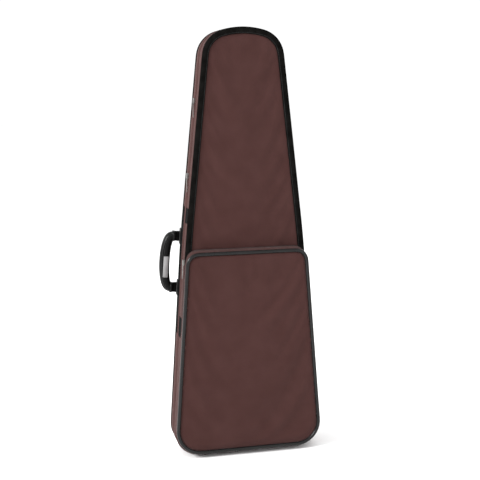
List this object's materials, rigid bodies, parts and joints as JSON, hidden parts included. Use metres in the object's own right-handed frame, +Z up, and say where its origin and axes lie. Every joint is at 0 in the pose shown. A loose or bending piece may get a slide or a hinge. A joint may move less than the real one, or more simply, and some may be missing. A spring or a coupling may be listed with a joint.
{
  "type": "padded gig bag",
  "caption": "Padded upright guitar bag with a side-hinged front shell, zipped accessory pocket, black binding and a side carrying handle.",
  "frame": {"origin": "middle of the base, on the floor the bag stands on", "axes": "+X to the right seen from the front, +Y to the back, +Z up to the neck end"},
  "size_m": [0.3886, 0.111, 1.041],
  "materials": {
    "brown_cloth": "woven, matt",
    "foam": "closed-cell foam, matt",
    "lining": "brushed nylon",
    "black_trim": "ribbed webbing, matt",
    "gloss_piping": "glossy vinyl",
    "leatherette": "grained vinyl leatherette, satin",
    "webbing": "woven webbing",
    "zip_tape": "woven tape",
    "zip_teeth": "nylon coil",
    "zip_metal": "nickel plated",
    "label": "plain light grey label"
  },
  "bodies": {
    "rear_shell": {"rear_panel": "brown_cloth", "rear_board": "foam", "rear_lining": "lining", "rear_gusset": "brown_cloth", "rear_base_gusset": "brown_cloth", "rear_foam_left": "foam", "rear_foam_right": "foam", "rear_foam_top": "foam", "rear_foam_base": "foam", "rear_wall_lining": "lining", "back_piping": "black_trim", "rear_zip_tape": "zip_tape", "rear_zip_teeth": "zip_teeth", "handle_patch": "leatherette", "handle_pads": "leatherette", "neck_rest": "lining", "neck_strap": "webbing", "neck_strap_fastener": "webbing", "headstock_pad": "lining", "strap_button_pad": "lining"},
    "front_shell": {"front_panel": "brown_cloth", "front_board": "foam", "front_lining": "lining", "front_gusset": "brown_cloth", "front_base_gusset": "brown_cloth", "front_foam_left": "foam", "front_foam_right": "foam", "front_foam_top": "foam", "front_foam_base": "foam", "front_wall_lining": "lining", "front_binding": "black_trim", "front_zip_tape": "zip_tape", "front_zip_teeth": "zip_teeth", "upper_side_tab": "leatherette", "lower_side_tab": "leatherette", "pocket_lower_panel": "brown_cloth", "pocket_lower_gusset": "brown_cloth", "pocket_lower_piping": "gloss_piping", "pocket_fixed_zip_tape": "zip_tape", "pocket_fixed_zip_teeth": "zip_teeth"},
    "pocket_flap": {"pocket_flap_panel": "brown_cloth", "pocket_flap_gusset": "brown_cloth", "pocket_flap_piping": "gloss_piping", "pocket_flap_zip_tape": "zip_tape", "pocket_flap_zip_teeth": "zip_teeth"},
    "handle": {"handle_grip": "leatherette", "handle_collars": "leatherette", "handle_strap_ends": "webbing", "handle_label": "label"},
    "upper_slider": {"upper_zip_slider": "zip_metal"},
    "upper_pull": {"upper_zip_pull": "zip_metal"},
    "lower_slider": {"lower_zip_slider": "zip_metal"},
    "lower_pull": {"lower_zip_pull": "zip_metal"},
    "pocket_slider": {"pocket_zip_slider": "zip_metal"},
    "pocket_pull": {"pocket_zip_pull": "zip_metal"}
  },
  "joints": [
    {"name": "front_shell_hinge", "type": "hinge", "parent": "rear_shell", "child": "front_shell", "pos_m": [0.188, 0, 0.07], "axis": [-0.0882, 0, 0.9961], "range_deg": [0, 165]},
    {"name": "pocket_flap_fold", "type": "hinge", "parent": "front_shell", "child": "pocket_flap", "pos_m": [0, -0.0708, 0.309], "axis": [1, 0, 0], "range_deg": [0, 35]},
    {"name": "handle_swing", "type": "hinge", "parent": "rear_shell", "child": "handle", "pos_m": [-0.1607, 0.022, 0.47842], "axis": [0.0798, 0, 0.9968], "range_deg": [-50, 50]},
    {"name": "upper_slider_travel", "type": "slide", "parent": "rear_shell", "child": "upper_slider", "axis": [0.1064, 0, 0.9943], "range_m": [-0.05, 0.085]},
    {"name": "upper_pull_swing", "type": "hinge", "parent": "upper_slider", "child": "upper_pull", "pos_m": [-0.11529, 0, 0.86337], "axis": [0, 1, 0], "range_deg": [0, 115]},
    {"name": "lower_slider_travel", "type": "slide", "parent": "rear_shell", "child": "lower_slider", "axis": [0.1064, 0, 0.9943], "range_m": [-0.065, 0.08]},
    {"name": "lower_pull_swing", "type": "hinge", "parent": "lower_slider", "child": "lower_pull", "pos_m": [-0.13443, 0, 0.68437], "axis": [0, 1, 0], "range_deg": [0, 115]},
    {"name": "pocket_slider_travel", "type": "slide", "parent": "front_shell", "child": "pocket_slider", "axis": [0.0745, 0, 0.9972], "range_m": [-0.16, 0]},
    {"name": "pocket_pull_swing", "type": "hinge", "parent": "pocket_slider", "child": "pocket_pull", "pos_m": [-0.15608, -0.0463, 0.48123], "axis": [0, 1, 0], "range_deg": [0, 115]}
  ]
}
